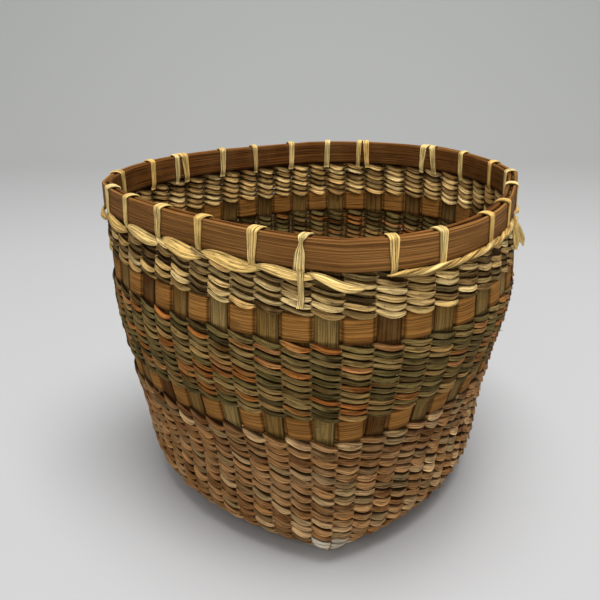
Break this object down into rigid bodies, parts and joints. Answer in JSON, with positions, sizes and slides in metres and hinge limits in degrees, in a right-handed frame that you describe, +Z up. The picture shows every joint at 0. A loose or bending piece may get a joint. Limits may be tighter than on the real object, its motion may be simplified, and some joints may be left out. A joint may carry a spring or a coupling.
{
  "type": "basket",
  "caption": "Small round-mouthed twined basket with a plaited square base, two plain woven hoops and a lashed wooden rim.",
  "frame": {"origin": "centre of the outline at ground level, on the underside of the base", "axes": "+Z up through the open mouth; the plaited base's sides run along X and Y"},
  "size_m": [0.1834, 0.1808, 0.1507],
  "materials": {
    "stakes": "dry flat bark strip, olive tan, straight grain",
    "plain_hoops": "dry orange-brown bark strip with fine grain along it",
    "rim_hoops": "smooth bent wood, reddish brown, fine grain along it",
    "tan_twining": "dry flattened plant fibre, tan and brown",
    "green_twining": "dry plant fibre, olive green mixed with salmon brown",
    "cream_twining": "dry plant fibre, cream and straw",
    "lashing": "pale split strand, slightly glossy"
  },
  "bodies": {
    "root": {"stake_x_01": "stakes", "stake_x_02": "stakes", "stake_x_03": "stakes", "stake_x_04": "stakes", "stake_x_05": "stakes", "stake_x_06": "stakes", "stake_x_07": "stakes", "stake_x_08": "stakes", "stake_x_09": "stakes", "stake_x_10": "stakes", "stake_x_11": "stakes", "stake_x_12": "stakes", "stake_x_13": "stakes", "stake_y_01": "stakes", "stake_y_02": "stakes", "stake_y_03": "stakes", "stake_y_04": "stakes", "stake_y_05": "stakes", "stake_y_06": "stakes", "stake_y_07": "stakes", "stake_y_08": "stakes", "stake_y_09": "stakes", "stake_y_10": "stakes", "stake_y_11": "stakes", "stake_y_12": "stakes", "stake_y_13": "stakes", "lower_twined_zone": "tan_twining", "middle_twined_zone": "green_twining", "upper_twined_zone": "cream_twining", "lower_plain_hoop": "plain_hoops", "upper_plain_hoop": "plain_hoops", "rim_hoop_outer": "rim_hoops", "rim_hoop_inner": "rim_hoops", "rim_lashing": "lashing", "lashing_tail": "lashing"}
  },
  "joints": []
}
